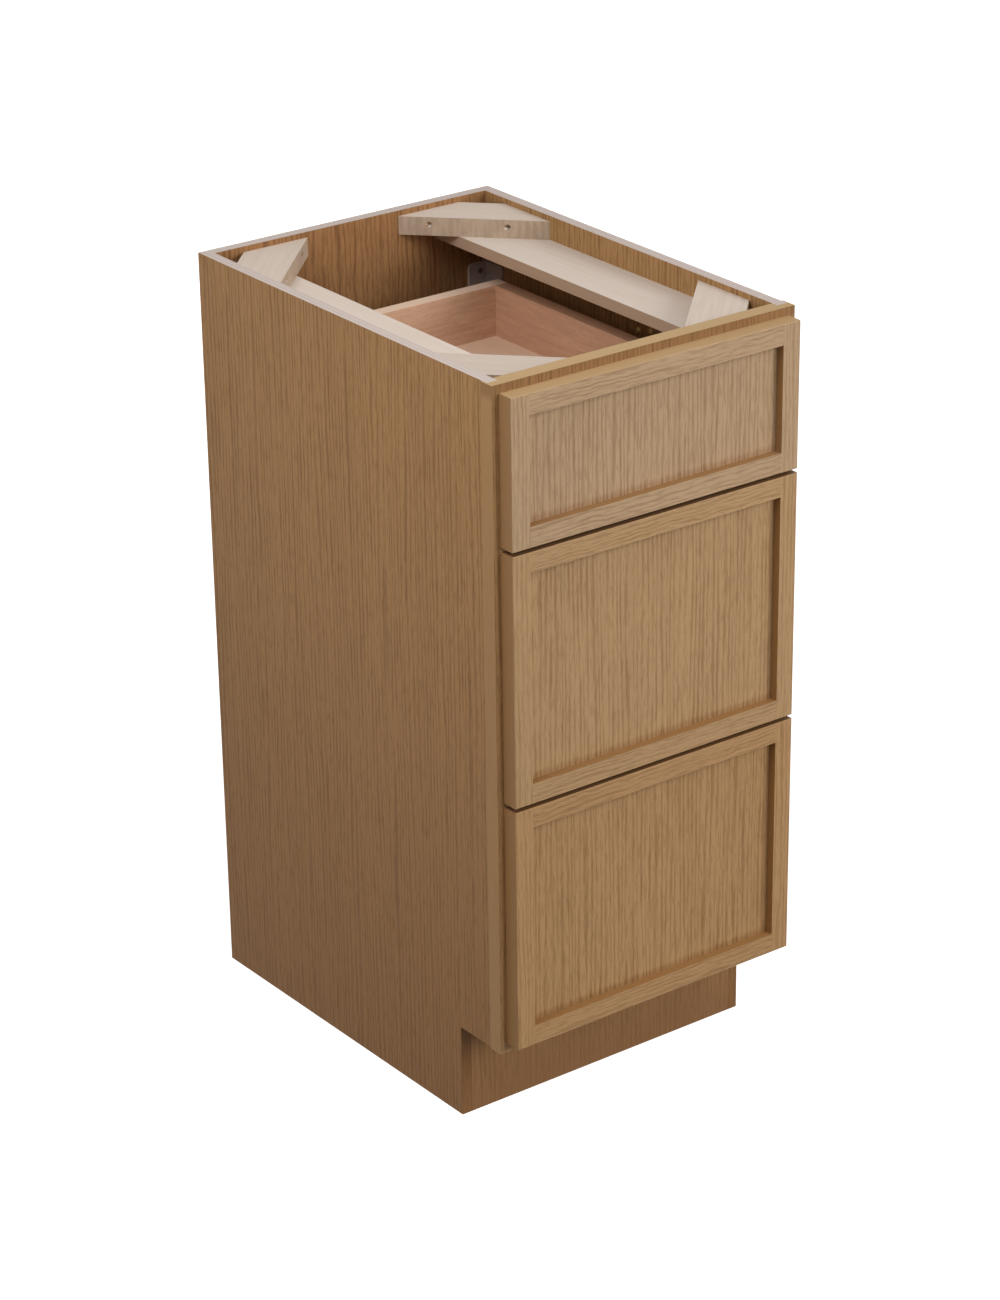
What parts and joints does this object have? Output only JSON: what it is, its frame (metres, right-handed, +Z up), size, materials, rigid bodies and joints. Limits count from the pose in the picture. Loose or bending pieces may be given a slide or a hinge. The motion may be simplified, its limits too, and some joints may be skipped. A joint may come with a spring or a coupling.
{
  "type": "drawer base vanity cabinet",
  "caption": "Freestanding bathroom base cabinet with an open braced top, a face frame, a toe space and stacked drawers on undermount slides.",
  "frame": {"origin": "on the floor, under the middle of the cabinet's overall width and depth", "axes": "+X to the right seen from the front, +Y towards the wall, +Z up; the drawers open along -Y"},
  "size_m": [0.381, 0.5334, 0.8382],
  "materials": {
    "oak_plywood": "clear satin stain on oak veneer",
    "oak_solid": "clear satin stain on solid oak",
    "oak_veneer_panel": "clear satin stain on oak veneer",
    "pale_hardwood": "unfinished, planed",
    "box_hardwood": "clear coat",
    "box_plywood": "clear coat",
    "zinc_steel": "bright zinc plate",
    "brass": "plain",
    "grey_plastic": "moulded, matt",
    "white_nylon": "moulded, smooth"
  },
  "bodies": {
    "carcass": {"back_corner_braces": "pale_hardwood", "back_panel": "oak_plywood", "bottom_panel": "oak_plywood", "brass_screws": "brass", "cabinet_rails": "zinc_steel", "corner_brace_screws": "zinc_steel", "frame_bottom_rail": "oak_solid", "frame_left_stile": "oak_solid", "frame_lower_middle_rail": "oak_solid", "frame_right_stile": "oak_solid", "frame_top_rail": "oak_solid", "frame_upper_middle_rail": "oak_solid", "front_corner_braces": "pale_hardwood", "left_side_panel": "oak_plywood", "rear_slide_brackets": "grey_plastic", "right_side_panel": "oak_plywood", "side_cleats": "pale_hardwood", "toe_kick_board": "oak_plywood"},
    "top_drawer": {"top_box_back": "box_hardwood", "top_box_bottom": "box_plywood", "top_box_front": "box_hardwood", "top_box_left_side": "box_hardwood", "top_box_right_side": "box_hardwood", "top_drawer_rails": "zinc_steel", "top_front_bottom_rail": "oak_solid", "top_front_left_stile": "oak_solid", "top_front_panel": "oak_veneer_panel", "top_front_right_stile": "oak_solid", "top_front_top_rail": "oak_solid", "top_locking_clips": "grey_plastic"},
    "top_slide_middles": {"top_middle_rails": "zinc_steel", "top_slide_glides": "white_nylon"},
    "middle_drawer": {"middle_box_back": "box_hardwood", "middle_box_bottom": "box_plywood", "middle_box_front": "box_hardwood", "middle_box_left_side": "box_hardwood", "middle_box_right_side": "box_hardwood", "middle_drawer_rails": "zinc_steel", "middle_front_bottom_rail": "oak_solid", "middle_front_left_stile": "oak_solid", "middle_front_panel": "oak_veneer_panel", "middle_front_right_stile": "oak_solid", "middle_front_top_rail": "oak_solid", "middle_locking_clips": "grey_plastic"},
    "middle_slide_middles": {"middle_middle_rails": "zinc_steel", "middle_slide_glides": "white_nylon"},
    "bottom_drawer": {"bottom_box_back": "box_hardwood", "bottom_box_bottom": "box_plywood", "bottom_box_front": "box_hardwood", "bottom_box_left_side": "box_hardwood", "bottom_box_right_side": "box_hardwood", "bottom_drawer_rails": "zinc_steel", "bottom_front_bottom_rail": "oak_solid", "bottom_front_left_stile": "oak_solid", "bottom_front_panel": "oak_veneer_panel", "bottom_front_right_stile": "oak_solid", "bottom_front_top_rail": "oak_solid", "bottom_locking_clips": "grey_plastic"},
    "bottom_slide_middles": {"bottom_middle_rails": "zinc_steel", "bottom_slide_glides": "white_nylon"}
  },
  "joints": [
    {"name": "top_drawer_slide", "type": "slide", "parent": "carcass", "child": "top_drawer", "axis": [0, -1, 0], "range_m": [0, 0.43]},
    {"name": "middle_drawer_slide", "type": "slide", "parent": "carcass", "child": "middle_drawer", "axis": [0, -1, 0], "range_m": [0, 0.43]},
    {"name": "bottom_drawer_slide", "type": "slide", "parent": "carcass", "child": "bottom_drawer", "axis": [0, -1, 0], "range_m": [0, 0.43]},
    {"name": "top_slide_middle_travel", "type": "slide", "parent": "carcass", "child": "top_slide_middles", "axis": [0, -1, 0], "range_m": [0, 0.215]},
    {"name": "middle_slide_middle_travel", "type": "slide", "parent": "carcass", "child": "middle_slide_middles", "axis": [0, -1, 0], "range_m": [0, 0.215]},
    {"name": "bottom_slide_middle_travel", "type": "slide", "parent": "carcass", "child": "bottom_slide_middles", "axis": [0, -1, 0], "range_m": [0, 0.215]}
  ],
  "couplings": [
    {"joint": "top_slide_middle_travel", "follows": "top_drawer_slide", "ratio": 0.5},
    {"joint": "middle_slide_middle_travel", "follows": "middle_drawer_slide", "ratio": 0.5},
    {"joint": "bottom_slide_middle_travel", "follows": "bottom_drawer_slide", "ratio": 0.5}
  ]
}
